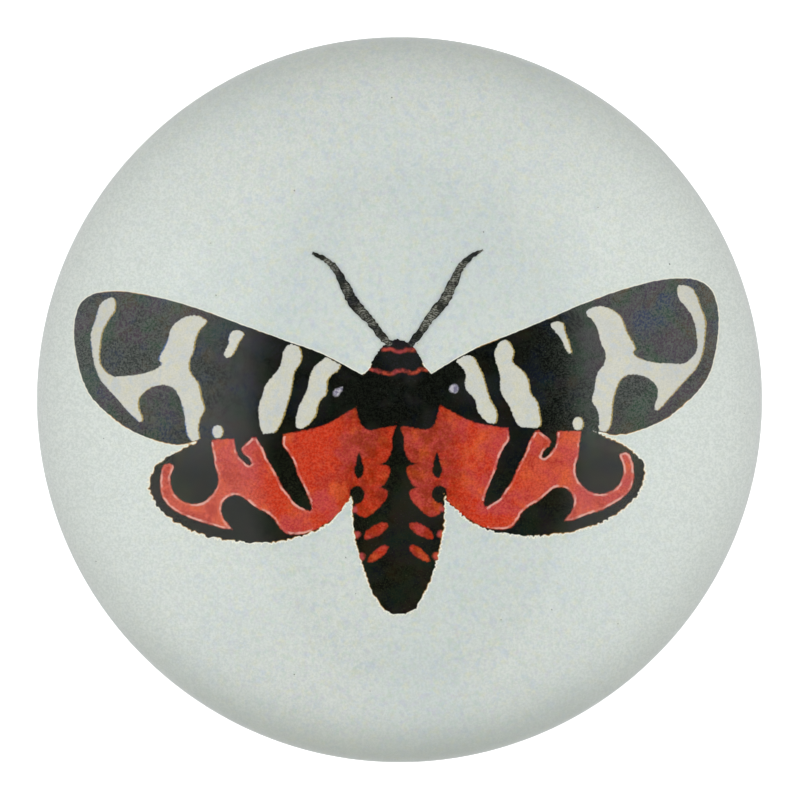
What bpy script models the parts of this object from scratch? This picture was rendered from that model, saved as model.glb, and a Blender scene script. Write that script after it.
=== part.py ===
# A round glass dome paperweight with a paper moth under it.
# From the top down: a solid glass dome, a moth cut from printed paper, the pale ground paper
# it is pasted on, and a felt pad. Metres, +Z up, origin at the middle of the pad's underside,
# +Y towards the moth's head.

import math

import bmesh
import bpy
from mathutils import Matrix, Vector
from mathutils.geometry import delaunay_2d_cdt, interpolate_bezier

MM = 0.001

# Driving dimensions of the stack
DOME_RADIUS = 44.5 * MM
DOME_HEIGHT = 28.0 * MM
DOME_FOOT_WALL = 1.6 * MM
DOME_FOOT_CHAMFER = 0.6 * MM
PAPER_RADIUS = DOME_RADIUS - DOME_FOOT_CHAMFER
GROUND_THICKNESS = 0.3 * MM
MOTH_THICKNESS = 0.2 * MM
PAD_RADIUS = DOME_RADIUS - 1.0 * MM
PAD_THICKNESS = 1.5 * MM
PAD_EDGE_ROUND = 0.35 * MM
GLUE_GAP = 0.3 * MM

# Heights that follow from the stack
GROUND_Z = PAD_THICKNESS + GLUE_GAP
MOTH_Z = GROUND_Z + GROUND_THICKNESS + GLUE_GAP
DOME_Z = MOTH_Z + MOTH_THICKNESS + GLUE_GAP

# How finely round shapes are divided
AROUND = 96
DOME_RINGS = 22
ROUND_STEPS = 4
OUTLINE_STEP = 0.9

# The figure stands a little askew: each part is turned by so many degrees about LEAN_CENTRE,
# then shifted sideways by so many millimetres
LEAN_CENTRE = Vector((0.0, 1.0))
FOREWING_LEAN = (1.3, -0.19)
HINDWING_LEAN = (1.4, -0.5)
BODY_LEAN = (0.4, -0.2)
ANTENNA_LEAN = (1.2, 0.15)

# Outlines of the moth's right half, in millimetres from the middle of the dome.
# Each list is one smooth stroke; where two strokes meet, the outline has a corner.
FOREWING_FRONT = [
    (3.6, 2.8), (7.95, 5.2), (12.0, 6.75), (16.0, 8.3), (20.0, 9.9), (24.0, 11.25),
    (28.0, 12.2), (30.5, 12.4), (32.4, 12.15), (33.85, 11.2), (34.5, 9.7), (34.7, 7.9),
    (34.5, 5.85), (33.95, 3.3), (33.0, 1.15), (31.45, -0.6), (29.25, -2.4), (26.7, -3.65),
    (24.4, -4.35), (22.8, -4.45),
]
FOREWING_BACK = [
    (22.8, -4.45), (20.0, -3.85), (15.0, -3.65), (11.0, -3.2), (8.0, -2.55), (5.8, -1.45),
    (3.0, 0.2),
]
FOREWING_ROOT = [(3.0, 0.2), (3.6, 2.8)]
HINDWING_MARGIN = [
    (20.5, -3.2), (22.65, -4.3), (24.1, -4.95), (25.55, -6.0), (26.5, -7.3), (26.75, -8.8),
    (26.15, -10.4), (25.1, -11.75), (23.3, -13.1), (20.8, -14.25), (17.8, -14.9),
    (14.6, -15.2), (11.8, -14.95), (9.1, -14.2), (6.9, -12.95), (4.95, -10.85),
]
HINDWING_ROOT = [(4.95, -10.85), (2.5, -6.0), (3.0, 0.0), (8.0, -0.6), (20.5, -3.2)]
HEAD_AND_NECK = [
    (0.0, 6.5), (0.8, 6.3), (1.35, 5.95), (1.9, 5.45), (2.25, 4.9), (2.7, 4.2), (3.1, 3.45),
    (3.8, 2.8),
]
BODY_SIDE = [
    (3.8, 2.8), (4.3, 1.0), (4.4, -2.0), (4.6, -6.0), (5.1, -9.5), (5.2, -11.5),
    (5.1, -13.5), (4.75, -15.6), (4.15, -17.7), (3.5, -19.6), (2.75, -21.15), (1.95, -22.4),
    (1.0, -23.0), (0.0, -23.15),
]
# The antenna's middle line, with its width at each point
ANTENNA = [
    (0.95, 5.75, 0.80), (1.75, 6.6, 0.95), (2.4, 7.45, 1.00), (3.15, 8.5, 1.10),
    (4.15, 9.6, 1.30), (5.0, 10.7, 1.30), (5.5, 11.75, 1.25), (6.05, 12.8, 1.05),
    (6.6, 13.9, 0.95), (7.1, 14.5, 0.85), (7.65, 15.0, 0.75), (8.3, 15.4, 0.60),
    (9.15, 15.8, 0.40),
]

# Colours as the eye sees them through the glass
GLASS_COLOUR = (0.90, 0.95, 0.93, 1.0)
INK_COLOUR = (0.018, 0.018, 0.018, 1.0)
GROUND_COLOUR = (0.60, 0.66, 0.62, 1.0)
FELT_COLOUR = (0.30, 0.28, 0.24, 1.0)


def clear_scene():
    for obj in list(bpy.data.objects):
        bpy.data.objects.remove(obj, do_unlink=True)


def make_material(name, colour, roughness, transmission=0.0):
    material = bpy.data.materials.new(name)
    material.use_nodes = True
    shader = material.node_tree.nodes["Principled BSDF"]
    shader.inputs["Base Color"].default_value = colour
    shader.inputs["Roughness"].default_value = roughness
    shader.inputs["Metallic"].default_value = 0.0
    shader.inputs["Transmission Weight"].default_value = transmission
    material.diffuse_color = colour
    return material


def add_object(name, bm, material, z=0.0):
    mesh = bpy.data.meshes.new(name)
    bmesh.ops.recalc_face_normals(bm, faces=bm.faces)
    bm.to_mesh(mesh)
    bm.free()
    mesh.shade_smooth()
    mesh.set_sharp_from_angle(angle=math.radians(30))
    mesh.materials.append(material)
    obj = bpy.data.objects.new(name, mesh)
    obj.location.z = z
    bpy.context.scene.collection.objects.link(obj)
    return obj


def turned_solid(profile):
    """A closed solid turned about Z from (radius, height) points that start and end on the axis."""
    bm = bmesh.new()
    points = [bm.verts.new((radius, 0.0, height)) for radius, height in profile]
    edges = [bm.edges.new(pair) for pair in zip(points, points[1:])]
    bmesh.ops.spin(
        bm,
        geom=points + edges,
        cent=(0, 0, 0),
        axis=(0, 0, 1),
        angle=math.tau,
        steps=AROUND,
        use_merge=True,
    )
    bmesh.ops.remove_doubles(bm, verts=bm.verts, dist=0.01 * MM)
    return bm


def dome_profile():
    """Half an ellipse on a short upright foot, with a ground chamfer where it stands."""
    crown = DOME_HEIGHT - DOME_FOOT_WALL
    curve = []
    for step in range(DOME_RINGS + 1):
        angle = math.radians(90) * step / DOME_RINGS
        radius = DOME_RADIUS * math.sin(angle)
        curve.append((radius, DOME_FOOT_WALL + crown * math.cos(angle)))
    foot = [
        (DOME_RADIUS, DOME_FOOT_CHAMFER),
        (DOME_RADIUS - DOME_FOOT_CHAMFER, 0.0),
        (0.0, 0.0),
    ]
    return curve + foot


def rounded_disc_profile(radius, thickness, edge_round):
    """A disc with both of its edges rounded, from its top middle to its bottom middle."""
    inner = radius - edge_round
    upper = []
    for step in range(ROUND_STEPS + 1):
        angle = math.radians(90) * step / ROUND_STEPS
        upper.append((
            inner + edge_round * math.sin(angle),
            thickness - edge_round + edge_round * math.cos(angle),
        ))
    lower = [(r, thickness - z) for r, z in reversed(upper)]
    return [(0.0, thickness)] + upper + lower + [(0.0, 0.0)]


def plain_disc_profile(radius, thickness):
    return [(0.0, thickness), (radius, thickness), (radius, 0.0), (0.0, 0.0)]


def stroke(points):
    """Points along a smooth curve through the given ones, about OUTLINE_STEP apart."""
    spots = [Vector(p[:2]) for p in points]
    ahead = [spots[0] * 2 - spots[1]] + spots + [spots[-1] * 2 - spots[-2]]
    sampled = []
    for before, start, end, after in zip(ahead, ahead[1:], ahead[2:], ahead[3:]):
        pieces = max(1, round((end - start).length / OUTLINE_STEP))
        handle_out = start + (end - before) / 6
        handle_in = end - (after - start) / 6
        run = interpolate_bezier(start, handle_out, handle_in, end, pieces + 1)
        sampled += [Vector(p[:2]) for p in run[:-1]]
    return sampled + [spots[-1]]


def closed_outline(*strokes):
    """One outline from strokes that each start where the last one ended."""
    outline = []
    for points in strokes:
        outline += stroke(points)[:-1]
    return outline


def ribbon_outline(middle_line):
    """The outline of a tapering ribbon, from (x, y, width) points along its middle."""
    line = [Vector(p[:2]) for p in middle_line]
    left, right = [], []
    for i, point in enumerate(line):
        along = line[min(i + 1, len(line) - 1)] - line[max(i - 1, 0)]
        across = Vector((-along.y, along.x)).normalized() * middle_line[i][2] / 2
        left.append(point + across)
        right.append(point - across)
    return stroke(left) + stroke(right)[::-1]


def mirrored(outline):
    return [Vector((-p.x, p.y)) for p in reversed(outline)]


def leaning(outline, lean):
    """The outline turned and shifted to where it lies in the figure."""
    degrees, sideways = lean
    turn = Matrix.Rotation(math.radians(degrees), 2)
    centre = LEAN_CENTRE + Vector((sideways, 0.0))
    return [centre + turn @ (point - LEAN_CENTRE) for point in outline]


def pair(outline, lean):
    """The right-hand outline and its mirror image, both leaning the same way."""
    return [leaning(outline, lean), leaning(mirrored(outline), lean)]


def moth_outlines():
    """The overlapping outlines that together make the moth's silhouette."""
    forewing = closed_outline(FOREWING_FRONT, FOREWING_BACK, FOREWING_ROOT)
    hindwing = closed_outline(HINDWING_MARGIN, HINDWING_ROOT)
    antenna = ribbon_outline(ANTENNA)
    half_body = stroke(HEAD_AND_NECK)[:-1] + stroke(BODY_SIDE)
    body = leaning(half_body[:-1] + mirrored(half_body)[:-1], BODY_LEAN)
    wings = pair(forewing, FOREWING_LEAN) + pair(hindwing, HINDWING_LEAN)
    return wings + [body] + pair(antenna, ANTENNA_LEAN)


def flat_cut_out(outlines, thickness):
    """A plate of the given thickness, cut to the union of the outlines."""
    points, faces = [], []
    for outline in outlines:
        faces.append(list(range(len(points), len(points) + len(outline))))
        points += outline
    inside_only = 1
    least_gap = 1e-4
    found = delaunay_2d_cdt(points, [], faces, inside_only, least_gap)
    bm = bmesh.new()
    verts = [bm.verts.new((p.x * MM, p.y * MM, 0.0)) for p in found[0]]
    for corner_ids in found[2]:
        bm.faces.new([verts[i] for i in corner_ids])
    lower_faces = list(bm.faces)
    raised = bmesh.ops.extrude_face_region(bm, geom=lower_faces, use_keep_orig=True)
    upper = [g for g in raised["geom"] if isinstance(g, bmesh.types.BMVert)]
    bmesh.ops.translate(bm, verts=upper, vec=(0, 0, thickness))
    loose = [v for v in bm.verts if not v.link_faces]
    bmesh.ops.delete(bm, geom=loose, context="VERTS")
    return bm


def build():
    clear_scene()
    glass = make_material("glass", GLASS_COLOUR, 0.02, transmission=1.0)
    ink = make_material("moth_print", INK_COLOUR, 0.6)
    ground = make_material("ground_paper", GROUND_COLOUR, 0.7)
    felt = make_material("felt", FELT_COLOUR, 0.95)

    pad_profile = rounded_disc_profile(PAD_RADIUS, PAD_THICKNESS, PAD_EDGE_ROUND)
    add_object("felt_pad", turned_solid(pad_profile), felt)
    ground_profile = plain_disc_profile(PAPER_RADIUS, GROUND_THICKNESS)
    add_object("ground_paper", turned_solid(ground_profile), ground, GROUND_Z)
    add_object("paper_moth", flat_cut_out(moth_outlines(), MOTH_THICKNESS), ink, MOTH_Z)
    add_object("glass_dome", turned_solid(dome_profile()), glass, DOME_Z)


build()
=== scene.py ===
# Looks of the domed glass paperweight: glass, printed moth, tinted paper, felt, studio.
import math

import bmesh
import bpy
import numpy as np
from mathutils.geometry import delaunay_2d_cdt
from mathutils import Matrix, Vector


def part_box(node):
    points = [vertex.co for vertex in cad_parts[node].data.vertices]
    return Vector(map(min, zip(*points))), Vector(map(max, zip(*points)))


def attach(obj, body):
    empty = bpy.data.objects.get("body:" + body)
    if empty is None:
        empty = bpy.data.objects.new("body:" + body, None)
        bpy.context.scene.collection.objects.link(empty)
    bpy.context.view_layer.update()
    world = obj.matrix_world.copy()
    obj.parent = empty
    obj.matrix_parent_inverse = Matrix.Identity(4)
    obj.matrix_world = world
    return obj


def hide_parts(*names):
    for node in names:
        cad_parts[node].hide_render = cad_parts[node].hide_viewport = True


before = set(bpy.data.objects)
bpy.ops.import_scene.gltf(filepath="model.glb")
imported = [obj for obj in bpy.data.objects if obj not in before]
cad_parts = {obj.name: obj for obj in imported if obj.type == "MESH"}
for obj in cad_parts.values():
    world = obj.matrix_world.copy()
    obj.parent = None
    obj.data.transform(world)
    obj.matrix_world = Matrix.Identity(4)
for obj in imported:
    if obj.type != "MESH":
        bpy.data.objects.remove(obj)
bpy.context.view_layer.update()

MM = 0.001

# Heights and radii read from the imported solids, in millimetres
GLASS_LOW, GLASS_HIGH = (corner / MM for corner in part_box("glass_dome"))
MOTH_LOW, _ = (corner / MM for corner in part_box("paper_moth"))
GROUND_LOW, GROUND_HIGH = (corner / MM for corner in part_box("ground_paper"))
_, PAD_HIGH = (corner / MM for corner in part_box("felt_pad"))
DOME_RADIUS = GLASS_HIGH.x
DOME_TOP = GLASS_HIGH.z

# The papers are pasted tight to the glass and to each other, so the drawn surfaces close the
# thin gaps that the solids keep between them
FOOT_CHAMFER = 0.6
FOOT_WALL = 1.6
FELT_ROUND = 0.45
GROUND_INSET = 0.15
GROUND_TOP = GROUND_HIGH.z + 0.2
GLASS_FOOT = GROUND_TOP - 0.06
MOTH_TOP = MOTH_LOW.z + 0.08
MOTH_BOTTOM = GROUND_TOP - 0.02
PAD_TOP = GROUND_LOW.z + 0.02

# Outlines of the moth's right half, as in the solid, in millimetres from the dome's middle
FOREWING_FRONT = [
    (3.6, 2.8), (7.95, 5.2), (12.0, 6.75), (16.0, 8.3), (20.0, 9.9), (24.0, 11.25),
    (28.0, 12.2), (30.5, 12.4), (32.4, 12.15), (33.85, 11.2), (34.5, 9.7), (34.7, 7.9),
    (34.5, 5.85), (33.95, 3.3), (33.0, 1.15), (31.45, -0.6), (29.25, -2.4), (26.7, -3.65),
    (24.4, -4.35), (22.8, -4.45),
]
FOREWING_BACK = [
    (22.8, -4.45), (20.0, -3.85), (15.0, -3.65), (11.0, -3.2), (8.0, -2.55), (5.8, -1.45),
    (3.0, 0.2),
]
FOREWING_ROOT = [(3.0, 0.2), (3.6, 2.8)]
HINDWING_MARGIN = [
    (20.5, -3.2), (22.65, -4.3), (24.1, -4.95), (25.55, -6.0), (26.5, -7.3), (26.75, -8.8),
    (26.15, -10.4), (25.1, -11.75), (23.3, -13.1), (20.8, -14.25), (17.8, -14.9),
    (14.6, -15.2), (11.8, -14.95), (9.1, -14.2), (6.9, -12.95), (4.95, -10.85),
]
HINDWING_ROOT = [(4.95, -10.85), (2.5, -6.0), (3.0, 0.0), (8.0, -0.6), (20.5, -3.2)]
HEAD_AND_NECK = [
    (0.0, 6.5), (0.8, 6.3), (1.35, 5.95), (1.9, 5.45), (2.25, 4.9), (2.7, 4.2), (3.1, 3.45),
    (3.8, 2.8),
]
BODY_SIDE = [
    (3.8, 2.8), (4.3, 1.0), (4.4, -2.0), (4.6, -6.0), (5.1, -9.5), (5.2, -11.5),
    (5.1, -13.5), (4.75, -15.6), (4.15, -17.7), (3.5, -19.6), (2.75, -21.15), (1.95, -22.4),
    (1.0, -23.0), (0.0, -23.15),
]
ANTENNA = [
    (0.95, 5.75, 0.80), (1.75, 6.6, 0.95), (2.4, 7.45, 1.00), (3.15, 8.5, 1.10),
    (4.15, 9.6, 1.30), (5.0, 10.7, 1.30), (5.5, 11.75, 1.25), (6.05, 12.8, 1.05),
    (6.6, 13.9, 0.95), (7.1, 14.5, 0.85), (7.65, 15.0, 0.75), (8.3, 15.4, 0.60),
    (9.15, 15.8, 0.40),
]
# Each part's turn in degrees about LEAN_CENTRE, then its shift sideways in millimetres
LEAN_CENTRE = np.array((0.0, 1.0))
FOREWING_LEAN = (1.3, -0.19)
HINDWING_LEAN = (1.4, -0.5)
BODY_LEAN = (0.4, -0.2)
ANTENNA_LEAN = (1.2, 0.15)

# The forewing's cream marks, from the root outwards
CREAM_MARKS = [
    [
        (6.08, 4.17), (6.92, 4.46), (7.96, 4.41), (8.55, 3.42), (9.04, 2.33), (9.49, 0.64),
        (9.79, -0.3), (10.43, -1.59), (10.13, -2.88), (9.14, -2.33), (8.45, -1.34),
        (8.2, -0.15), (7.22, 1.04), (7.27, 2.53), (6.77, 3.47),
    ],
    [
        (10.43, 4.86), (10.97, 5.85), (11.57, 6.05), (12.06, 5.65), (12.41, 4.76),
        (12.21, 3.77), (13.2, 2.83), (13.84, 1.84), (14.04, 0.45), (14.73, -0.55),
        (14.98, -1.84), (14.93, -3.22), (13.05, -3.17), (12.41, -2.38), (11.86, -0.99),
        (10.97, 0.6), (10.92, 2.28), (10.53, 3.77),
    ],
    [
        (16.41, 7.54), (16.95, 7.94), (17.69, 7.74), (17.89, 6.84), (18.29, 5.65),
        (18.53, 4.36), (17.94, 5.06), (17.55, 6.05), (17.0, 6.75),
    ],
    [
        (20.21, 8.78), (21.1, 9.37), (22.09, 9.42), (23.18, 8.93), (23.97, 8.13), (24.42, 6.8),
        (25.11, 5.51), (25.4, 4.81), (25.06, 4.46), (25.75, 3.82), (27.23, 3.37), (29.31, 3.17),
        (30.69, 3.22), (31.68, 4.02), (32.13, 4.91), (32.03, 6.5), (31.68, 8.08), (30.79, 9.47),
        (30.2, 10.17), (30.15, 11.36), (30.64, 11.56), (31.63, 11.16), (32.13, 10.37),
        (32.57, 9.03), (33.02, 7.64), (32.82, 5.36), (32.57, 4.17), (31.98, 2.83),
        (31.19, 1.93), (29.85, 0.55), (28.32, -1.09), (27.53, -1.79), (27.33, -1.29),
        (27.68, -0.4), (27.68, 0.69), (27.08, 1.39), (26.29, 1.93), (25.01, 2.13),
        (24.12, 1.93), (23.63, 1.49), (23.13, 0.4), (22.78, -0.99), (22.69, -2.18),
        (22.44, -3.37), (21.94, -3.92), (21.3, -3.67), (21.4, -2.68), (21.2, -1.59),
        (20.66, -0.55), (20.96, 0.64), (21.3, 2.28), (22.09, 3.37), (22.19, 4.56),
        (21.75, 5.56), (21.45, 6.94), (21.01, 7.89),
    ],
]
CREAM_DOT = (19.08, -2.98, 0.54, 0.70)
LILAC_DOT = (5.98, 1.04, 0.52, 0.5)

# The hindwing's black marks on its red ground
HIND_BAR = [
    (12.16, -2.18), (12.06, -4.46), (11.47, -5.36), (10.92, -6.45), (10.53, -7.74),
    (9.88, -9.13), (9.39, -10.32), (9.14, -11.36), (9.39, -11.66), (10.08, -11.31),
    (10.97, -10.71), (11.57, -9.82), (12.21, -9.03), (12.6, -8.13), (13.1, -7.09),
    (13.74, -6.0), (14.14, -4.91), (14.93, -3.52), (15.42, -2.18),
]
HIND_NOTCH = [
    (15.22, -2.58), (15.32, -3.67), (16.41, -4.66), (16.31, -5.26), (15.72, -5.85),
    (15.42, -6.45), (15.62, -6.65), (16.11, -6.35), (16.61, -5.85), (17.0, -5.16),
    (17.2, -3.77), (17.3, -2.58),
]
HIND_BLACK_INNER_EDGE = [
    (19.77, -1.98), (19.69, -4.02), (19.47, -5.51), (19.33, -6.6), (19.03, -7.69),
    (19.13, -8.68), (19.67, -9.57), (20.46, -10.27), (21.35, -10.56), (22.24, -10.52),
    (23.23, -10.02), (23.92, -9.13), (24.17, -8.04), (23.97, -7.14), (23.72, -6.55),
    (24.22, -6.2), (24.81, -6.4), (25.16, -7.29), (25.26, -8.38), (25.11, -9.57),
    (24.71, -10.37), (23.92, -11.11), (22.93, -11.71), (21.65, -12.3), (20.21, -12.75),
    (18.73, -13.24), (17.64, -13.39),
]
HIND_BLACK_LOWER_EDGE = [
    (17.64, -13.39), (18.29, -12.6), (18.68, -11.95), (18.78, -11.06), (18.48, -10.32),
    (17.99, -9.92), (17.2, -9.72), (16.41, -10.02), (15.72, -10.61), (14.93, -11.21),
    (14.04, -11.66), (13.2, -12.35), (12.8, -13.04), (12.21, -13.74), (11.61, -14.04),
    (10.53, -14.09), (9.54, -13.94), (8.65, -13.54), (6.92, -12.5), (5.14, -10.71),
]
HIND_BLACK_OUTSIDE = [
    (5.14, -10.71), (2.97, -11.9), (8.9, -16.86), (21.75, -16.86), (29.66, -9.92),
    (25.7, -2.98), (19.77, -1.98),
]

# The body's black thorax, red lobes, black side spots and small dull red side spots
THORAX = [
    (0.0, 3.6), (3.8, 2.9), (4.6, 1.0), (4.5, -0.5), (4.25, -1.6), (3.8, -2.75), (2.9, -3.2),
    (1.6, -3.0), (0.5, -2.85), (0.0, -3.3),
]
LOBES = [
    [
        (0.25, -2.4), (2.0, -2.2), (3.6, -1.6), (4.3, 0.0), (6.0, -0.4), (6.0, -8.0),
        (4.0, -7.3), (2.6, -7.0), (1.7, -6.8), (1.2, -6.45), (0.85, -5.85), (0.6, -4.9),
        (0.62, -4.0), (0.35, -3.2),
    ],
    [
        (0.9, -7.3), (1.4, -6.95), (2.5, -6.9), (4.0, -7.2), (6.0, -7.6), (6.0, -9.4),
        (4.2, -9.55), (2.8, -9.5), (1.85, -9.25), (1.35, -8.8), (1.0, -8.1),
    ],
    [
        (1.12, -10.0), (1.35, -9.55), (2.2, -9.35), (3.2, -9.3), (4.4, -9.4), (4.6, -11.0),
        (4.5, -11.9), (4.1, -12.35), (3.5, -12.5), (2.8, -12.15), (2.1, -11.5), (1.4, -10.7),
    ],
    [
        (1.15, -13.2), (1.8, -13.05), (2.8, -13.5), (3.55, -14.15), (3.65, -14.85),
        (2.9, -14.75), (1.9, -14.3), (1.25, -13.7),
    ],
    [
        (1.1, -15.6), (1.7, -15.5), (2.5, -16.0), (3.15, -16.7), (3.3, -17.2), (2.9, -17.25),
        (2.1, -16.9), (1.4, -16.3),
    ],
]
SIDE_DIAMOND = [
    (4.15, -5.6), (4.5, -6.8), (4.7, -7.6), (4.25, -8.4), (3.65, -7.7), (3.8, -6.7),
]
SIDE_ROUND = (4.4, -10.1, 0.84, 0.93)
SIDE_REDS = [
    (4.75, -11.65, 0.42, 0.34),
    (4.5, -14.35, 0.42, 0.36),
    (4.0, -16.7, 0.4, 0.4),
]
HEAD_LINE = [
    (-1.5, 5.3), (-0.75, 5.4), (-0.2, 5.2), (0.15, 5.05), (0.6, 5.15), (1.0, 5.35), (1.9, 5.2),
]
COLLAR_LINE = [
    (-3.0, 3.3), (-2.2, 3.1), (-1.4, 2.85), (-0.6, 2.75), (0.1, 3.1), (0.9, 3.05), (1.6, 2.75),
    (2.5, 3.2), (3.4, 3.1),
]
LINE_HALF_WIDTH = 0.15
# The black left around a cream mark at the wing's edge
BLACK_RIM = 0.28
# Where the left forewing differs: its first three marks and its spot have outlines of their
# own, and its outermost mark leaves a wider black margin
LEFT_MARKS = [
    [
        (6.1, 3.9), (6.4, 4.7), (7.2, 4.85), (7.9, 4.45), (8.65, 3.85), (9.2, 3.0), (9.45, 2.0),
        (9.7, 1.1), (10.2, 0.15), (10.65, -0.8), (10.87, -1.7), (10.92, -2.5), (10.5, -2.9),
        (9.8, -2.55), (9.2, -1.95), (8.8, -1.35), (8.65, -0.6), (8.3, 0.15), (7.7, 0.75),
        (7.58, 1.6), (7.5, 2.3), (6.95, 2.85), (6.35, 3.3),
    ],
    [
        (10.3, 5.5), (10.7, 6.1), (11.4, 6.15), (12.0, 5.5), (12.3, 4.4), (12.6, 3.6),
        (13.4, 2.65), (14.1, 1.75), (14.4, 0.8), (14.82, -0.4), (14.82, -1.5), (14.7, -2.7),
        (14.2, -3.45), (13.4, -3.3), (12.8, -2.65), (12.35, -1.7), (11.95, -0.5), (11.5, 0.8),
        (11.22, 2.2), (11.0, 3.2), (10.4, 4.1), (10.2, 4.8),
    ],
    [
        (16.3, 7.3), (16.75, 7.75), (17.5, 7.65), (17.85, 7.1), (17.85, 6.5), (18.2, 5.75),
        (18.4, 5.25), (18.2, 4.88), (17.7, 5.05), (17.2, 5.75), (16.85, 6.5),
    ],
]
LEFT_SPOT = [
    (5.85, 1.5), (6.3, 1.42), (6.85, 1.1), (6.9, 0.65), (6.5, 0.42), (6.15, 0.72), (5.95, 1.1),
]
LEFT_DOT_SHIFT = (0.22, 0.0)
LEFT_HOOK_SHIFT = 0.32
LEFT_HOOK_FROM = 29.0
LEFT_HOOK_RAMP = 3.0
# The black left around the cream dot at the wing's edge, and how far the print's yellow lies
# to the right of the cream marks
DOT_RIM = 0.06
YELLOW_SLIP = 0.16

# The head's cut edge isn't bare above HEAD_FROM. Beside the abdomen the hindwings have no pale
# line nearer to the middle than PALE_LINE_BEYOND and below PALE_LINE_ABOVE
HEAD_FROM = 4.0
PALE_LINE_BEYOND = 9.2
PALE_LINE_ABOVE = -10.8

# How deep the cut edge is bitten, in millimetres, and the outline points from bite to bite.
# Above CALM_ABOVE the bites are half as deep
BITES = {"hindwing": (0.34, 1), "body": (0.28, 1), "antenna": (0.32, 2)}
FOREWING_BITES = (0.11, 2)
CALM_ABOVE = 2.0

# How fine the drawn surfaces are, in millimetres or steps
OUTLINE_STEP = 0.13
MARK_STEP = 0.22
GRID_STEP = 0.24
REACH = 1.5
FAR = 9.0
DOME_AROUND = 256
DOME_RINGS = 72
ELLIPSE_POINTS = 24
POINTS_AT_ONCE = 4000
SHARP_FROM_DEGREES = 32
SEED = 7

# The room that the glass mirrors, in half-angle coordinates: 0 straight up, 1 at the horizon.
# Its dark ceiling is an oval, and each window has a middle and a radius. The overhead light's
# height and size and the floor's reach are in metres, the floor's drop in millimetres
CEILING_MIDDLE = (0.037, -0.10)
CEILING_REACH = (0.30, 0.62)
CEILING_LIGHT = 0.04
WINDOWS = [((-0.50, 0.29), 0.16), ((0.48, 0.39), 0.15)]
WINDOW_LIGHT = 0.55
LOWER_ROOM_LIGHT = 0.84
ROOM_STRENGTH = 0.8
OVERHEAD_HEIGHT = 1.2
OVERHEAD_SIZE = 1.6
OVERHEAD_WATTS = 24.0
FLOOR_REACH = 3.0
FLOOR_DROP = 0.05


def smooth_run(points, spacing=OUTLINE_STEP):
    """Points along a smooth curve through the given ones, about spacing apart."""
    spots = np.array([p[:2] for p in points], float)
    ahead = np.vstack([2 * spots[0] - spots[1], spots, 2 * spots[-1] - spots[-2]])
    sampled = []
    for before, start, end, after in zip(ahead, ahead[1:], ahead[2:], ahead[3:]):
        count = max(1, round(np.linalg.norm(end - start) / spacing))
        t = np.linspace(0.0, 1.0, count, endpoint=False)[:, None]
        out, back = (end - before) / 2, (after - start) / 2
        rise = 3 * t**2 - 2 * t**3
        sampled.append(
            start * (1 - rise) + end * rise + out * (t**3 - 2 * t**2 + t) + back * (t**3 - t**2)
        )
    return np.vstack(sampled + [spots[-1:]])


def outline_of(*strokes, spacing=OUTLINE_STEP):
    """One closed outline from strokes that each start where the last one ended."""
    return np.vstack([smooth_run(stroke, spacing)[:-1] for stroke in strokes])


def closed_curve(points):
    """A smooth closed outline with no corner, through the given points."""
    around = list(points[-2:]) + list(points) + list(points[:2])
    run = smooth_run(around, MARK_STEP)
    first = np.argmin(np.linalg.norm(run - np.array(points[0]), axis=1))
    last = len(run) - 1 - np.argmin(np.linalg.norm(run[::-1] - np.array(points[0]), axis=1))
    return run[first:last]


def ellipse(spec):
    x, y, half_width, half_height = spec
    turn = np.linspace(0.0, math.tau, ELLIPSE_POINTS, endpoint=False)
    return np.stack([x + half_width * np.cos(turn), y + half_height * np.sin(turn)], axis=1)


def mirrored(outline):
    return outline[::-1] * (-1.0, 1.0)


def leaning(outline, lean):
    """The outline turned and shifted to where it lies in the figure."""
    cos, sin = math.cos(math.radians(lean[0])), math.sin(math.radians(lean[0]))
    turn = np.array(((cos, sin), (-sin, cos)))
    return (outline - LEAN_CENTRE) @ turn + LEAN_CENTRE + (lean[1], 0.0)


def upright(places, lean):
    """Places in the figure as places on the part before it was turned and shifted."""
    cos, sin = math.cos(math.radians(lean[0])), math.sin(math.radians(lean[0]))
    turn_back = np.array(((cos, -sin), (sin, cos)))
    return (places - LEAN_CENTRE - (lean[1], 0.0)) @ turn_back + LEAN_CENTRE


def on_right(places, lean):
    """Places on either side of a mirrored part, as places on its right half."""
    straight = upright(places, lean)
    return np.stack([np.abs(straight[:, 0]), straight[:, 1]], axis=1)


def segment_distance(points, starts, ends):
    """Each point's least distance to a run of straight pieces, and the nearest piece."""
    along = ends - starts
    length = np.maximum((along**2).sum(1), 1e-12)
    best = np.full(len(points), np.inf)
    nearest = np.zeros(len(points), int)
    for first in range(0, len(points), POINTS_AT_ONCE):
        block = slice(first, first + POINTS_AT_ONCE)
        spots = points[block, None]
        part = ((spots - starts) * along).sum(2) / length
        foot = starts + np.clip(part, 0, 1)[..., None] * along
        gap = ((spots - foot)**2).sum(2)
        nearest[block] = gap.argmin(1)
        best[block] = gap.min(1)
    return np.sqrt(best), nearest


def signed_distance(points, outline):
    """Distance to a closed outline, negative inside it, and FAR well away from it."""
    low, high = outline.min(0) - REACH, outline.max(0) + REACH
    near = np.all((points > low) & (points < high), axis=1)
    distances = np.full(len(points), FAR)
    distances[near] = exact_distance(points[near], outline)
    return distances


def exact_distance(points, outline):
    ends = np.roll(outline, -1, axis=0)
    distance, _ = segment_distance(points, outline, ends)
    inside = np.zeros(len(points), bool)
    for (x0, y0), (x1, y1) in zip(outline, ends):
        if y0 == y1:
            continue
        between = (points[:, 1] > y0) != (points[:, 1] > y1)
        crossing = x0 + (points[:, 1] - y0) * (x1 - x0) / (y1 - y0)
        inside ^= between & (points[:, 0] < crossing)
    return np.where(inside, -distance, distance)


def line_distance(points, line):
    run = smooth_run(line)
    return segment_distance(points, run[:-1], run[1:])[0] - LINE_HALF_WIDTH


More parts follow.
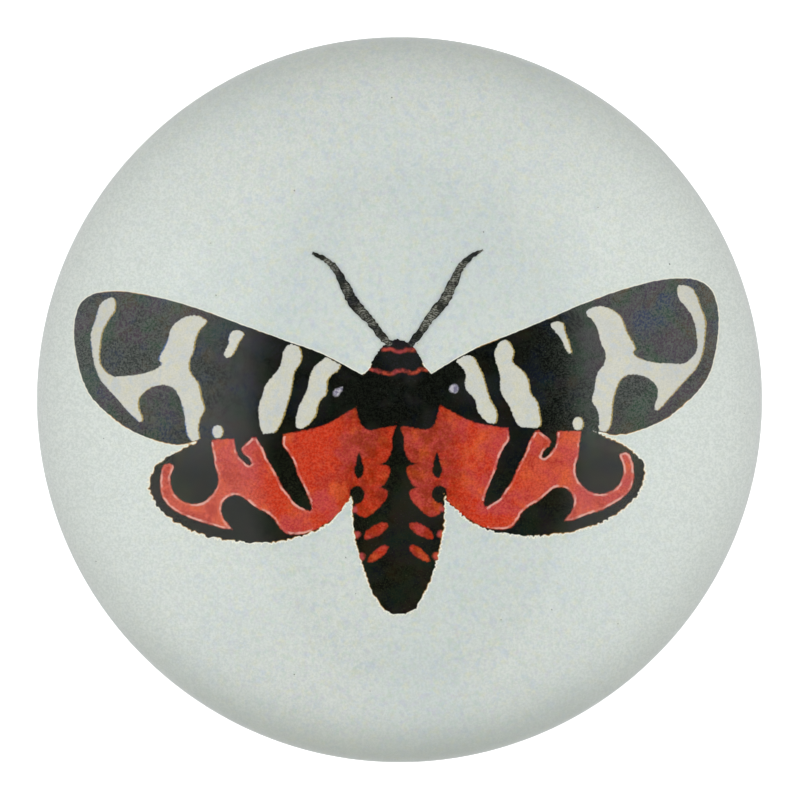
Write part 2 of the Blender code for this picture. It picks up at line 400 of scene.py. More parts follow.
def ragged(outline, random, depths, pitch):
    """The outline pulled inwards by small uneven bites, as scissors or a fringe leave it."""
    ends = np.roll(outline, -1, axis=0) - np.roll(outline, 1, axis=0)
    normals = np.stack([ends[:, 1], -ends[:, 0]], axis=1)
    normals /= np.maximum(np.linalg.norm(normals, axis=1), 1e-9)[:, None]
    x, y = outline.T
    turning = np.sum(x * np.roll(y, -1) - np.roll(x, -1) * y)
    outward = normals * math.copysign(1.0, turning)
    knots = random.random(len(outline) // pitch + 2)
    bites = np.interp(np.arange(len(outline)) / pitch, np.arange(len(knots)), knots)
    return outline - outward * (bites * depths)[:, None]


def ribbon(middle_line):
    """The antenna's outline: its smooth middle line, widened by half its width each way."""
    line = smooth_run(middle_line)
    along = np.gradient(line, axis=0)
    across = np.stack([-along[:, 1], along[:, 0]], axis=1)
    across /= np.linalg.norm(across, axis=1)[:, None]
    spots = np.array(middle_line)
    reach = np.concatenate([[0], np.cumsum(np.linalg.norm(np.diff(spots[:, :2], axis=0), axis=1))])
    travelled = np.concatenate([[0], np.cumsum(np.linalg.norm(np.diff(line, axis=0), axis=1))])
    width = np.interp(travelled / travelled[-1], reach / reach[-1], spots[:, 2])[:, None]
    return line, width, np.vstack([line + across * width / 2, (line - across * width / 2)[::-1]])


def silhouettes():
    """The smooth outlines whose union is the moth, by name."""
    forewing = outline_of(FOREWING_FRONT, FOREWING_BACK, FOREWING_ROOT)
    hindwing = outline_of(HINDWING_MARGIN, HINDWING_ROOT)
    half_body = np.vstack([smooth_run(HEAD_AND_NECK)[:-1], smooth_run(BODY_SIDE)])
    body = np.vstack([half_body[:-1], mirrored(half_body)[:-1]])
    antenna = ribbon(ANTENNA)[2]
    return {
        "forewing_right": leaning(forewing, FOREWING_LEAN),
        "forewing_left": leaning(mirrored(forewing), FOREWING_LEAN),
        "hindwing_right": leaning(hindwing, HINDWING_LEAN),
        "hindwing_left": leaning(mirrored(hindwing), HINDWING_LEAN),
        "body": leaning(body, BODY_LEAN),
        "antenna_right": leaning(antenna, ANTENNA_LEAN),
        "antenna_left": leaning(mirrored(antenna), ANTENNA_LEAN),
    }


def cut_outlines(outlines, random):
    """The outlines as cut: nearly clean at head and forewings, spiky along the hindwings."""
    cut = []
    for name, outline in outlines.items():
        depth, pitch = BITES.get(name.split("_")[0], FOREWING_BITES)
        depths = depth * np.where(outline[:, 1] > CALM_ABOVE, 0.5, 1.0)
        cut.append(ragged(outline, random, depths, pitch))
    return cut


def grid_inside(outlines, spacing):
    """Points of a triangular grid that lie inside the union, clear of its edges."""
    low = np.min([o.min(0) for o in outlines], axis=0)
    high = np.max([o.max(0) for o in outlines], axis=0)
    rows = np.arange(low[1], high[1], spacing * math.sqrt(0.75))
    columns = np.arange(low[0], high[0], spacing)
    x, y = np.meshgrid(columns, rows)
    x = x + (np.arange(len(rows)) % 2 * spacing / 2)[:, None]
    points = np.stack([x.ravel(), y.ravel()], axis=1)
    distances = [signed_distance(points, o) for o in outlines]
    clear = np.min(np.abs(distances), axis=0) > 0.45 * spacing
    return points[(np.min(distances, axis=0) < 0) & clear]


def cut_sheet(name, outlines, inner_points, low, high):
    """A thin plate with straight sides, cut to the union of the outlines."""
    points, faces = [], []
    for outline in outlines:
        faces.append(list(range(len(points), len(points) + len(outline))))
        points += [tuple(p) for p in outline]
    points += [tuple(p) for p in inner_points]
    inside_only = 1
    least_gap = 1e-5
    found = delaunay_2d_cdt(points, [], faces, inside_only, least_gap)
    bm = bmesh.new()
    verts = [bm.verts.new((p.x * MM, p.y * MM, low * MM)) for p in found[0]]
    for corner_ids in found[2]:
        bm.faces.new([verts[i] for i in corner_ids])
    for vert in [v for v in bm.verts if not v.link_faces]:
        bm.verts.remove(vert)
    raised = bmesh.ops.extrude_face_region(bm, geom=list(bm.faces), use_keep_orig=True)
    upper = [g for g in raised["geom"] if isinstance(g, bmesh.types.BMVert)]
    bmesh.ops.translate(bm, verts=upper, vec=(0, 0, (high - low) * MM))
    return add_piece(name, bm)


def add_piece(name, bm, smooth=False):
    mesh = bpy.data.meshes.new(name)
    bmesh.ops.recalc_face_normals(bm, faces=bm.faces)
    bm.to_mesh(mesh)
    bm.free()
    if smooth:
        mesh.shade_smooth()
        mesh.set_sharp_from_angle(angle=math.radians(SHARP_FROM_DEGREES))
    piece = bpy.data.objects.new(name, mesh)
    bpy.context.scene.collection.objects.link(piece)
    return piece


def flat_places(piece):
    co = np.zeros(len(piece.data.vertices) * 3, np.float32)
    piece.data.vertices.foreach_get("co", co)
    return co.reshape(-1, 3)[:, :2].astype(float) / MM


def store(piece, name, values):
    layer = piece.data.attributes.new(name, "FLOAT", "POINT")
    layer.data.foreach_set("value", values.astype(np.float32))


def body_reds(places):
    """Distances to the body's red, to the edges of its lobes, and to its dull red marks."""
    straight = upright(places, BODY_LEAN)
    halved = on_right(places, BODY_LEAN)
    lobes = [signed_distance(halved, closed_curve(lobe)) for lobe in LOBES]
    black = [
        signed_distance(halved, outline_of(THORAX, spacing=MARK_STEP)),
        signed_distance(halved, closed_curve(SIDE_DIAMOND)),
        signed_distance(halved, ellipse(SIDE_ROUND)),
    ]
    red = np.maximum(np.min(lobes, axis=0), -np.min(black, axis=0))
    dull = [signed_distance(halved, ellipse(spot)) for spot in SIDE_REDS]
    dull += [line_distance(straight, HEAD_LINE), line_distance(straight, COLLAR_LINE)]
    return red, np.min(np.abs(lobes), axis=0), np.min(dull, axis=0)


def hindwing_black(places):
    """Distance to the black marks of the hindwings."""
    local = on_right(places, HINDWING_LEAN)
    margin = outline_of(
        HIND_BLACK_INNER_EDGE, HIND_BLACK_LOWER_EDGE, HIND_BLACK_OUTSIDE, spacing=MARK_STEP)
    shapes = [margin, closed_curve(HIND_BAR), closed_curve(HIND_NOTCH)]
    return np.min([signed_distance(local, shape) for shape in shapes], axis=0)


def forewing_cream(places, forewings, nudge=0.0):
    """Distance to the cream marks of the forewings, drawn nudged to the right."""
    local = on_right(places - (nudge, 0.0), FOREWING_LEAN)
    left = places[:, 0] < 0.0
    right_marks = [closed_curve(mark) for mark in CREAM_MARKS]
    left_marks = [closed_curve(mark) for mark in LEFT_MARKS]
    hook_ramp = np.clip((local[:, 0] - LEFT_HOOK_FROM) / LEFT_HOOK_RAMP, 0.0, 1.0)
    hook = local.copy()
    hook[:, 0] += LEFT_HOOK_SHIFT * left * hook_ramp
    marks = [signed_distance(hook, right_marks[3])]
    for left_mark, right_mark in zip(left_marks, right_marks):
        marks.append(np.where(
            left, signed_distance(local, left_mark), signed_distance(local, right_mark)))
    dot = signed_distance(local - left[:, None] * LEFT_DOT_SHIFT, ellipse(CREAM_DOT))
    framed = np.maximum(np.min(marks, axis=0), forewings + BLACK_RIM)
    return np.minimum(framed, np.maximum(dot, forewings + DOT_RIM))


def root_spot(places):
    """Distance to the pale spot at each forewing's root."""
    local = on_right(places, FOREWING_LEAN)
    spots = [signed_distance(local, spot) for spot in (closed_curve(LEFT_SPOT), ellipse(LILAC_DOT))]
    return np.where(places[:, 0] < 0.0, *spots)


def paint_moth(piece, outlines, cut):
    """Stores where each printed colour starts, as distances that the material reads."""
    places = flat_places(piece)
    inside = {name: signed_distance(places, outline) for name, outline in outlines.items()}
    forewings = np.minimum(inside["forewing_right"], inside["forewing_left"])
    hindwings = np.minimum(inside["hindwing_right"], inside["hindwing_left"])
    antennae = np.minimum(inside["antenna_right"], inside["antenna_left"])
    marks = hindwing_black(places)
    over = np.minimum(forewings, inside["body"])
    wing_red = np.maximum(np.maximum(hindwings, -marks), -over)
    body_red, lobe_edge, dull = body_reds(places)
    body_red = np.maximum(np.maximum(body_red, -forewings), inside["body"] - 0.1)
    on_body = inside["body"] < 0.2
    edge = -np.min([signed_distance(places, outline) for outline in cut], axis=0)
    on_head = on_body & (places[:, 1] > HEAD_FROM)
    store(piece, "edge", np.where((antennae < 0.2) | on_head, FAR, edge))
    store(piece, "cream", forewing_cream(places, forewings))
    store(piece, "cream_late", forewing_cream(places, forewings, YELLOW_SLIP))
    store(piece, "lilac", root_spot(places))
    store(piece, "red", np.minimum(wing_red, body_red))
    store(piece, "dull_red", dull)
    by_body = (np.abs(places[:, 0]) < PALE_LINE_BEYOND) & (places[:, 1] < PALE_LINE_ABOVE)
    store(piece, "marks", np.where((over < 0.0) | by_body, FAR, marks))
    store(piece, "lobe_edge", np.where(on_body, lobe_edge, FAR))
    store(piece, "body_edge", np.abs(inside["body"]))
    store(piece, "antenna", antennae)
    along, across = antenna_place(places)
    store(piece, "along", along)
    store(piece, "across", across)


def antenna_place(places):
    """How far along the antenna each place is, and how far across it from -1 to 1."""
    halved = on_right(places, ANTENNA_LEAN)
    line, width, _ = ribbon(ANTENNA)
    distance, nearest = segment_distance(halved, line[:-1], line[1:])
    along = line[nearest + 1] - line[nearest]
    to_place = halved - line[nearest]
    side = np.sign(along[:, 0] * to_place[:, 1] - along[:, 1] * to_place[:, 0])
    return nearest * OUTLINE_STEP, side * distance / np.maximum(width[nearest, 0] / 2, 0.05)


class Nodes:
    """Short calls that add nodes to a material's or the world's node tree."""

    def __init__(self, owner):
        owner.use_nodes = True
        self.tree = owner.node_tree

    def add(self, kind, **settings):
        node = self.tree.nodes.new(kind)
        for name, value in settings.items():
            setattr(node, name, value)
        return node

    def feed(self, socket, value):
        if isinstance(value, bpy.types.NodeSocket):
            self.tree.links.new(value, socket)
        else:
            socket.default_value = value

    def math(self, operation, a, b=0.0):
        node = self.add("ShaderNodeMath", operation=operation)
        self.feed(node.inputs[0], a)
        self.feed(node.inputs[1], b)
        return node.outputs[0]

    def step(self, value, low, high, to_low=0.0, to_high=1.0):
        """Rises smoothly from to_low to to_high as value goes from low to high."""
        node = self.add("ShaderNodeMapRange", interpolation_type="SMOOTHSTEP")
        self.feed(node.inputs["Value"], value)
        for name, limit in zip(("From Min", "From Max", "To Min", "To Max"),
                               (low, high, to_low, to_high)):
            node.inputs[name].default_value = limit
        return node.outputs[0]

    def axes(self, place):
        """The three coordinates of a place, each on its own."""
        node = self.add("ShaderNodeSeparateXYZ")
        self.feed(node.inputs[0], place)
        return node.outputs


class Look(Nodes):
    """A Principled material with short calls for its colours and its bumps."""

    def __init__(self, name, roughness, **sockets):
        self.material = bpy.data.materials.new(name)
        super().__init__(self.material)
        self.shader = self.tree.nodes["Principled BSDF"]
        self.shader.inputs["Roughness"].default_value = roughness
        for socket, value in sockets.items():
            self.shader.inputs[socket.replace("_", " ")].default_value = value
        self.place = self.tree.nodes.new("ShaderNodeTexCoord").outputs["Object"]

    def attribute(self, name):
        return self.add("ShaderNodeAttribute", attribute_name=name).outputs["Fac"]

    def noise(self, size, detail=2.0, roughness=0.5, stretch=(1.0, 1.0, 1.0)):
        """Soft noise around 0.5, with features of about size millimetres."""
        scaled = self.add("ShaderNodeVectorMath", operation="MULTIPLY")
        self.feed(scaled.inputs[0], self.place)
        scaled.inputs[1].default_value = [s / (size * MM) for s in stretch]
        node = self.add("ShaderNodeTexNoise")
        self.feed(node.inputs["Vector"], scaled.outputs[0])
        node.inputs["Scale"].default_value = 1.0
        node.inputs["Detail"].default_value = detail
        node.inputs["Roughness"].default_value = roughness
        return node.outputs["Fac"]

    def mix(self, factor, a, b, blend="MIX"):
        node = self.add("ShaderNodeMix", data_type="RGBA", blend_type=blend)
        self.feed(node.inputs[0], factor)
        self.feed(node.inputs[6], a)
        self.feed(node.inputs[7], b)
        return node.outputs[2]

    def wobble(self, distance, size, amount):
        """A stored distance made uneven by noise, for ragged ink edges."""
        swing = self.math("MULTIPLY", self.math("SUBTRACT", self.noise(size, 3.0), 0.5), amount)
        return self.math("ADD", distance, swing)

    def grain(self, size, contrast):
        """Fine grain from 0 to 1, as a print or a rough paper shows it close up."""
        return self.step(self.noise(size, 2.0, 0.6), 0.5 - contrast, 0.5 + contrast)

    def outward(self, near, far, most=1.0):
        """From 0 to most as places go from near to far millimetres to either side."""
        aside = self.math("ABSOLUTE", self.axes(self.place)["X"])
        return self.step(aside, near * MM, far * MM, 0.0, most)

    def downward(self, near, far, most=1.0):
        """From 0 to most as places go from near to far millimetres below the middle."""
        return self.step(self.axes(self.place)["Y"], -near * MM, -far * MM, 0.0, most)

    def from_axis(self):
        """How far places are from the dome's upright axis, in metres."""
        axes = self.axes(self.place)
        squares = [self.math("POWER", axes[axis], 2.0) for axis in "XY"]
        return self.math("SQRT", self.math("ADD", *squares))

    def bump(self, height, depth):
        node = self.add("ShaderNodeBump")
        node.inputs["Distance"].default_value = depth * MM
        self.feed(node.inputs["Height"], height)
        self.feed(self.shader.inputs["Normal"], node.outputs[0])


def colour(red, green, blue):
    """A screen colour from 0 to 255 as a linear one."""
    def linear(c):
        c /= 255
        return c / 12.92 if c <= 0.04045 else ((c + 0.055) / 1.055)**2.4
    return linear(red), linear(green), linear(blue), 1.0


def black_ink(look):
    """Deep black at the thorax, greyer outwards under a painted reflection veil, browner downwards,
    drifting in tint.
    """
    # Painted reflection: a pale veil greys the ink outwards, weaker below the middle, with a slight
    # grey lower down too
    less_veil_below = look.math("SUBTRACT", 1.0, look.downward(3.0, 8.0, 0.67))
    painted_veil = look.math("MULTIPLY", look.outward(12.0, 27.0), less_veil_below)
    painted_veil = look.math("MAXIMUM", painted_veil, look.downward(3.0, 10.0, 0.14))
    tone = look.mix(painted_veil, colour(4, 6, 3), colour(30, 36, 33))
    tinted = look.math("ADD", look.math("MULTIPLY", painted_veil, 0.8), 0.14)
    for size, tint in ((3.7, colour(78, 60, 34)), (4.3, colour(30, 46, 84)),
                       (3.1, colour(32, 66, 42)), (3.4, colour(64, 42, 62))):
        patch = look.step(look.noise(size, 3.0, 0.6), 0.48, 0.62, 0.0, 0.9)
        tone = look.mix(look.math("MULTIPLY", patch, tinted), tone, tint)
    speck = look.mix(painted_veil, colour(25, 28, 21), colour(85, 89, 83))
    tone = look.mix(look.math("MULTIPLY", look.grain(0.17, 0.06), 0.8), tone, speck)
    bright = look.step(look.noise(0.15, 2.0, 0.6), 0.62, 0.74, 0.0, 0.6)
    tone = look.mix(look.math("MULTIPLY", bright, tinted), tone, colour(132, 136, 130))
    return look.mix(look.downward(-1.0, 8.0), tone, (0.72, 0.69, 0.46, 1.0), "MULTIPLY")


def cream_paint(look):
    """Pale cream with soft bluish and yellowish clouds in it, and a fine grain."""
    tone = look.mix(look.step(look.noise(2.2, 3.0), 0.35, 0.68), colour(221, 216, 203),
                    colour(213, 211, 206))
    for size, tint in ((0.9, colour(196, 204, 216)), (0.8, colour(222, 214, 176))):
        cloud = look.step(look.noise(size, 2.0, 0.6), 0.50, 0.68, 0.0, 0.48)
        tone = look.mix(cloud, tone, tint)
    grain = look.math("MULTIPLY", look.grain(0.18, 0.14), 0.36)
    tone = look.mix(grain, tone, colour(188, 187, 176))
    fleck = look.step(look.noise(0.3, 2.0, 0.7), 0.66, 0.80, 0.0, 0.5)
    return look.mix(fleck, tone, colour(170, 166, 150))


def red_paint(look):
    """Deep scarlet near the body, pinker outwards, laid on unevenly by hand."""
    far = look.math("ADD", look.outward(9.0, 20.0), look.math(
        "MULTIPLY", look.math("SUBTRACT", look.noise(5.0, 2.0), 0.5), 0.9))
    tone = look.mix(look.step(far, 0.1, 0.9), colour(206, 50, 20), colour(214, 88, 66))
    for size, tint, strength in ((3.0, colour(226, 96, 48), 0.8), (2.4, colour(172, 40, 34), 0.75),
                                 (3.6, colour(196, 66, 72), 0.8)):
        patch = look.step(look.noise(size, 3.0, 0.6), 0.48, 0.62, 0.0, strength)
        tone = look.mix(patch, tone, tint)
    dark = look.math("MULTIPLY", look.grain(0.2, 0.16), 0.42)
    tone = look.mix(dark, tone, colour(146, 34, 26))
    light = look.math("MULTIPLY", look.grain(0.23, 0.16), 0.28)
    tone = look.mix(light, tone, colour(238, 116, 84))
    cloud = look.step(look.noise(1.0, 3.0, 0.7), 0.38, 0.62, 0.3, 1.0)
    shaded = look.math("MULTIPLY", look.outward(7.8, 4.8), cloud)
    return look.mix(shaded, tone, (0.56, 0.54, 0.30, 1.0), "MULTIPLY")


def antenna_hatching(look, tone):
    """The antennae's grey-brown stretches between dark edges, hatched finely across."""
    across = look.attribute("across")
    middle = look.step(look.math("ABSOLUTE", look.wobble(across, 0.6, 0.7)), 0.95, 0.50)
    faded = look.step(look.noise(2.3, 2.0), 0.42, 0.58, 0.12, 0.95)
    there = look.step(look.attribute("antenna"), 0.02, -0.02)
    bent = look.math("ADD", look.attribute("along"), look.math("MULTIPLY", across, 0.22))
    bent = look.math("ADD", bent, look.math("MULTIPLY", look.noise(0.6, 2.0), 0.45))
    wave = look.math("MULTIPLY", look.math("SINE", look.math("MULTIPLY", bent, 26.0)), 0.10)
    tick = look.step(look.math("ADD", look.noise(0.28, 2.0, 0.7), wave), 0.42, 0.66)
    shade = look.mix(tick, colour(66, 65, 58), colour(158, 156, 146))
    amount = look.math("MULTIPLY", look.math("MULTIPLY", middle, faded), there)
    return look.mix(look.math("MULTIPLY", amount, 0.9), tone, shade)


def paint_reds(look, tone):
    """The red of hindwings and body, and the body's duller red lines and side spots."""
    red = red_paint(look)
    lobe_line = look.step(look.attribute("lobe_edge"), 0.22, 0.0, 0.0, 0.4)
    red = look.mix(lobe_line, red, colour(160, 46, 36))
    body_line = look.step(look.wobble(look.attribute("body_edge"), 0.5, 0.2), 0.20, 0.0, 0.0, 0.4)
    red = look.mix(body_line, red, colour(150, 40, 44))
    edge = look.wobble(look.attribute("red"), 0.3, 0.34)
    tone = look.mix(look.step(edge, 0.09, -0.11), tone, red)
    dull = look.wobble(look.attribute("dull_red"), 0.4, 0.34)
    tint = look.mix(look.step(look.noise(1.6, 2.0), 0.42, 0.58), colour(206, 84, 60),
                    colour(184, 74, 76))
    broken = look.step(look.noise(0.6, 2.0), 0.34, 0.56, 0.35, 0.9)
    return look.mix(look.math("MULTIPLY", look.step(dull, 0.18, -0.16), broken), tone, tint)


def paint_pale_lines(look, tone):
    """The pale line that the print leaves around the hindwing's black marks, here and there."""
    near = look.wobble(look.attribute("marks"), 0.5, 0.3)
    band = look.math("MULTIPLY", look.step(near, -0.02, 0.08), look.step(near, 0.33, 0.14))
    broken = look.step(look.noise(1.3, 2.0), 0.40, 0.60, 0.10, 0.80)
    on_red = look.step(look.attribute("red"), 0.05, -0.05)
    amount = look.math("MULTIPLY", look.math("MULTIPLY", band, broken), on_red)
    return look.mix(amount, tone, colour(231, 182, 168))


def paint_creams(look, tone):
    """The forewing's cream marks with a yellow rim on one side, and the spot at its root."""
    late = look.wobble(look.attribute("cream_late"), 0.25, 0.36)
    yellow = look.math("MULTIPLY", look.step(late, 0.04, -0.06), 0.62)
    tone = look.mix(yellow, tone, colour(210, 180, 96))
    edge = look.wobble(look.attribute("cream"), 0.25, 0.36)
    tone = look.mix(look.step(edge, 0.06, -0.06), tone, cream_paint(look))
    tone = look.mix(blue_edge(look, edge), tone, colour(44, 92, 158))
    lilac = look.wobble(look.attribute("lilac"), 0.3, 0.28)
    shade = look.mix(look.grain(0.4, 0.1), colour(196, 190, 198), colour(122, 116, 140))
    return look.mix(look.step(lilac, 0.10, -0.16), tone, shade)


def blue_edge(look, cream):
    """How much of the print's blue shows at a cream mark's left edge, far out on the left."""
    far_left = look.step(look.axes(look.place)["X"], -16.0 * MM, -21.0 * MM)
    slip = look.math("SUBTRACT", look.attribute("cream_late"), look.attribute("cream"))
    line = look.math("MULTIPLY", look.step(slip, 0.07, 0.14),
                     look.step(look.math("ABSOLUTE", cream), 0.12, 0.03))
    broken = look.step(look.noise(2.4, 2.0), 0.44, 0.58, 0.05, 0.7)
    return look.math("MULTIPLY", look.math("MULTIPLY", far_left, line), broken)


def paint_cut_edge(look, tone):
    """The paper's bare edge around the figure, yellowed inside it in places, mostly below."""
    cut = look.wobble(look.attribute("edge"), 0.7, 0.13)
    aged = look.math("ADD", look.noise(2.6, 2.0), look.downward(-3.0, 4.0, 0.14))
    yellowed = look.math("MULTIPLY", look.step(aged, 0.55, 0.66), look.step(cut, 0.20, 0.12))
    tone = look.mix(look.math("MULTIPLY", yellowed, 0.8), tone, colour(208, 156, 78))
    return look.mix(look.step(cut, 0.13, 0.06), tone, colour(242, 239, 226))


def print_look():
    """The moth's printed and hand-coloured surface, wet to the glass, so without a sheen."""
    look = Look("moth_print", 0.62, Specular_IOR_Level=0.0)
    tone = antenna_hatching(look, black_ink(look))
    tone = paint_reds(look, tone)
    tone = paint_pale_lines(look, tone)
    tone = paint_creams(look, tone)
    look.feed(look.shader.inputs["Base Color"], paint_cut_edge(look, tone))
    look.bump(look.noise(0.3, 3.0), 0.01)
    return look.material


def ground_look():
    """Pale grey-green paper with a fine mottle of blue, yellow and lilac, and a few specks."""
    look = Look("ground_paper", 0.7, Specular_IOR_Level=0.0)
    broad = look.step(look.noise(16.0, 2.0), 0.35, 0.65)
    tone = look.mix(broad, colour(222, 224, 219), colour(215, 220, 218))
    for size, strength, tint in (
        (0.9, 0.60, colour(196, 206, 220)),
        (1.1, 0.55, colour(222, 220, 192)),
        (0.8, 0.50, colour(208, 202, 216)),
        (0.7, 0.50, colour(196, 214, 200)),
    ):
        patch = look.step(look.noise(size, 2.0, 0.6), 0.50, 0.74, 0.0, strength)
        tone = look.mix(patch, tone, tint)
    tone = look.mix(look.outward(8.0, 36.0, 0.85), tone, colour(236, 239, 234))
    away = look.from_axis()
    amount = look.step(away, 10.0 * MM, 24.0 * MM, 0.28, 0.38)
    tone = look.mix(look.math("MULTIPLY", look.grain(0.22, 0.16), amount), tone,
                    colour(186, 193, 187))
    speck = look.step(look.noise(0.55, 2.0, 0.5), 0.775, 0.80)
    tone = look.mix(speck, tone, colour(70, 76, 72))
    # Painted shade: the paper drawn darker towards its rim, most at the bottom
    tone = look.mix(painted_rim_shade(look, away), tone, colour(150, 158, 142))
    look.feed(look.shader.inputs["Base Color"], tone)
    look.bump(look.noise(0.4, 3.0), 0.02)
    return look.material


def painted_rim_shade(look, away):
    """How much painted shade darkens the paper towards its rim: not at the sides, most at the
    bottom.
    """
    upward = look.math("DIVIDE", look.axes(look.place)["Y"], away)
    amount = look.math("MULTIPLY", look.math("POWER", upward, 2.0),
                       look.step(upward, 0.5, -0.5, 0.33, 0.62))
    uneven = look.math("ADD", away, look.math("MULTIPLY", look.noise(5.0, 3.0), 0.0012))
    return look.math("MULTIPLY", look.step(uneven, 33.5 * MM, 41.0 * MM), amount)


def felt_look():
    look = Look("felt", 0.95, Specular_IOR_Level=0.1, Sheen_Weight=0.4)
    cloud = look.noise(2.5, 3.0)
    tone = look.mix(look.step(cloud, 0.35, 0.65), colour(120, 112, 98), colour(138, 130, 114))
    fuzz = look.noise(0.18, 4.0, 0.75, stretch=(1.0, 0.35, 1.0))
    tone = look.mix(look.step(fuzz, 0.42, 0.68), tone, colour(92, 86, 76))
    look.feed(look.shader.inputs["Base Color"], tone)
    look.bump(look.math("ADD", cloud, fuzz), 0.25)
    return look.material


def glass_look():
    """Clear polished crown glass with a trace of green in its depth."""
    look = Look("glass", 0.0, Transmission_Weight=1.0, IOR=1.5)
    look.shader.inputs["Base Color"].default_value = (1.0, 1.0, 1.0, 1.0)
    depth = look.add("ShaderNodeVolumeAbsorption")
    depth.inputs["Color"].default_value = (0.72, 0.85, 0.80, 1.0)
    depth.inputs["Density"].default_value = 5.0
    output = look.tree.nodes["Material Output"]
    look.tree.links.new(depth.outputs[0], output.inputs["Volume"])
    return look.material


def turned_piece(name, profile):
    """A closed solid turned about Z from (radius, height) points in millimetres."""
    bm = bmesh.new()
    points = [bm.verts.new((r * MM, 0.0, z * MM)) for r, z in profile]
    edges = [bm.edges.new(pair) for pair in zip(points, points[1:])]
    bmesh.ops.spin(
        bm, geom=points + edges, cent=(0, 0, 0), axis=(0, 0, 1), angle=math.tau,
        steps=DOME_AROUND, use_merge=True,
    )
    bmesh.ops.remove_doubles(bm, verts=bm.verts, dist=0.002 * MM)
    return add_piece(name, bm, smooth=True)


def glass_piece():
    """The dome: half an ellipse on a short upright foot, its lower edge ground off."""
    equator = GLASS_LOW.z + FOOT_WALL
    profile = []
    for step in range(DOME_RINGS + 1):
        angle = math.radians(90) * step / DOME_RINGS
        radius = DOME_RADIUS * math.sin(angle)
        profile.append((radius, equator + (DOME_TOP - equator) * math.cos(angle)))
    inner = DOME_RADIUS - FOOT_CHAMFER
    profile += [(DOME_RADIUS, GLASS_FOOT + FOOT_CHAMFER), (inner, GLASS_FOOT), (0.0, GLASS_FOOT)]
    return turned_piece("clear_glass", profile)


def ground_piece():
    radius = GROUND_HIGH.x - GROUND_INSET
    profile = [(0.0, GROUND_TOP), (radius, GROUND_TOP), (radius, GROUND_LOW.z), (0.0, GROUND_LOW.z)]
    return turned_piece("tinted_paper", profile)


def felt_piece():
    """The pad, with its upper and lower edges rounded."""
    radius = PAD_HIGH.x - FELT_ROUND
    profile = [(0.0, PAD_TOP)]
    profile += [(r, PAD_TOP) for r in (10.0, 20.0, 30.0, 38.0)]
    for step in range(7):
        angle = math.radians(90) * step / 6
        drop = FELT_ROUND * (1.0 - math.cos(angle))
        profile.append((radius + FELT_ROUND * math.sin(angle), PAD_TOP - drop))
    profile += [(r, PAD_TOP - z) for r, z in reversed(profile[5:])]
    profile.append((0.0, 0.0))
    return turned_piece("felt", profile)


def moth_piece():
    random = np.random.default_rng(SEED)
    outlines = silhouettes()
    cut = cut_outlines(outlines, random)
    inner = grid_inside(cut, GRID_STEP)
    piece = cut_sheet("printed_moth", cut, inner, MOTH_BOTTOM, MOTH_TOP)
    paint_moth(piece, outlines, cut)
    return piece


def dress(piece, material, node):
    """Gives a piece its material and lets it stand for a solid of the frame."""
    piece.data.materials.append(material)
    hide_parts(node)
    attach(piece, "root")


def add_floor():
    bm = bmesh.new()
    bmesh.ops.create_grid(bm, x_segments=1, y_segments=1, size=FLOOR_REACH)
    floor = add_piece("floor", bm)
    floor.location.z = -FLOOR_DROP * MM
    look = Look("floor", 0.8, Specular_IOR_Level=0.1)
    look.shader.inputs["Base Color"].default_value = (0.93, 0.93, 0.93, 1.0)
    look.shader.inputs["Emission Color"].default_value = (1.0, 1.0, 1.0, 1.0)
    look.shader.inputs["Emission Strength"].default_value = 0.3
    floor.visible_glossy = False
    floor.data.materials.append(look.material)


def add_overhead_light():
    """A wide soft light above the dome that the glass doesn't mirror."""
    lamp = bpy.data.lights.new("overhead", "AREA")
    lamp.shape = "DISK"
    lamp.size = OVERHEAD_SIZE
    lamp.energy = OVERHEAD_WATTS
    light = bpy.data.objects.new("overhead", lamp)
    light.location.z = OVERHEAD_HEIGHT
    light.visible_glossy = False
    bpy.context.scene.collection.objects.link(light)


def ceiling_light(nodes, u, v):
    """Dark inside the ceiling's oval and full light beyond it."""
    away = [
        nodes.math("DIVIDE", nodes.math("SUBTRACT", place, middle), reach)
        for place, middle, reach in zip((u, v), CEILING_MIDDLE, CEILING_REACH)
    ]
    cubes = [nodes.math("POWER", nodes.math("ABSOLUTE", part), 3.0) for part in away]
    return nodes.step(nodes.math("ADD", *cubes), 0.55, 1.45, CEILING_LIGHT, 1.0)


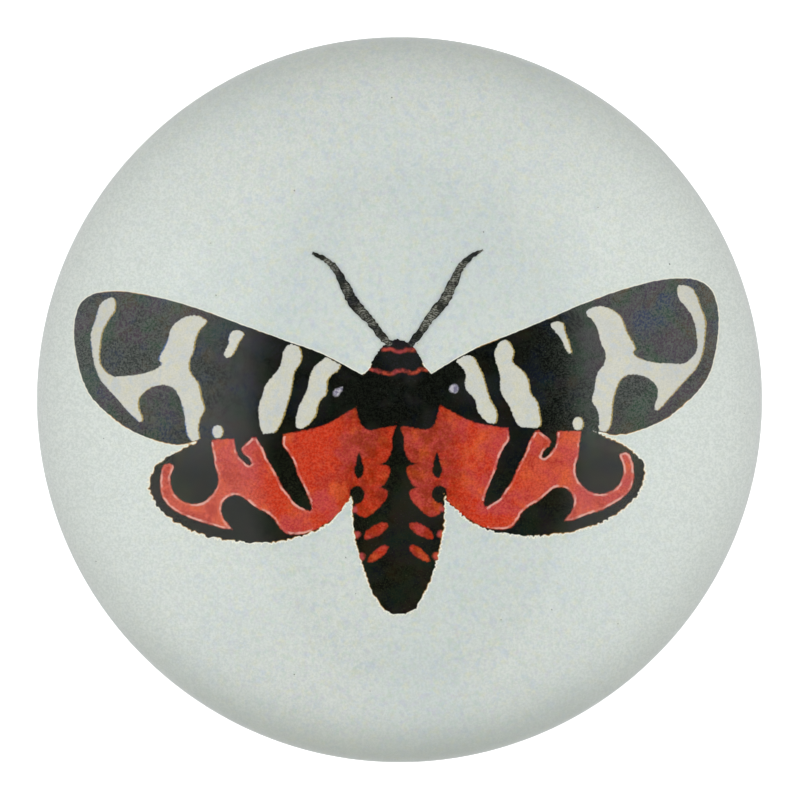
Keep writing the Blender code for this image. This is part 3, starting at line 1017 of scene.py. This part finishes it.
def window_light(nodes, u, v, middle, radius):
    """A soft round glow that fades to nothing at the radius."""
    squares = [
        nodes.math("POWER", nodes.math("SUBTRACT", place, at), 2.0)
        for place, at in zip((u, v), middle)
    ]
    away = nodes.math("SQRT", nodes.math("ADD", *squares))
    return nodes.step(away, 0.0, radius, WINDOW_LIGHT, 0.0)


def set_world():
    """A pale room: even all round, dark overhead, with two soft bright windows."""
    world = bpy.data.worlds.new("room")
    nodes = Nodes(world)
    x, y, z = nodes.axes(nodes.add("ShaderNodeTexCoord").outputs["Generated"])
    drop = nodes.math("ADD", z, 1.0001)
    u = nodes.math("DIVIDE", x, drop)
    v = nodes.math("DIVIDE", y, drop)
    lower = nodes.step(z, -0.9, -0.2, LOWER_ROOM_LIGHT, 1.0)
    light = nodes.math("MULTIPLY", ceiling_light(nodes, u, v), lower)
    for middle, radius in WINDOWS:
        light = nodes.math("ADD", light, window_light(nodes, u, v, middle, radius))
    background = nodes.tree.nodes["Background"]
    nodes.feed(background.inputs["Strength"], nodes.math("MULTIPLY", light, ROOM_STRENGTH))
    background.inputs["Color"].default_value = (0.97, 0.99, 1.0, 1.0)
    bpy.context.scene.world = world


def set_camera():
    """Straight down, with the dome's rim 362 pixels from its middle in an 800-pixel frame."""
    rim_pixels, half_frame = 362.3, 400.0
    lens, sensor = 200.0, 36.0
    half_width = DOME_RADIUS * half_frame / rim_pixels
    distance = half_width * lens / (sensor / 2)
    camera = bpy.data.cameras.new("camera")
    camera.lens = lens
    camera.sensor_width = sensor
    view = bpy.data.objects.new("camera", camera)
    height = distance + GLASS_LOW.z + FOOT_WALL
    view.location = (0.06 * MM, -0.04 * MM, height * MM)
    bpy.context.scene.collection.objects.link(view)
    bpy.context.scene.camera = view


def build():
    dress(glass_piece(), glass_look(), "glass_dome")
    dress(moth_piece(), print_look(), "paper_moth")
    dress(ground_piece(), ground_look(), "ground_paper")
    dress(felt_piece(), felt_look(), "felt_pad")
    add_floor()
    set_world()
    add_overhead_light()
    set_camera()
    bpy.context.scene.view_settings.view_transform = "Standard"


build()
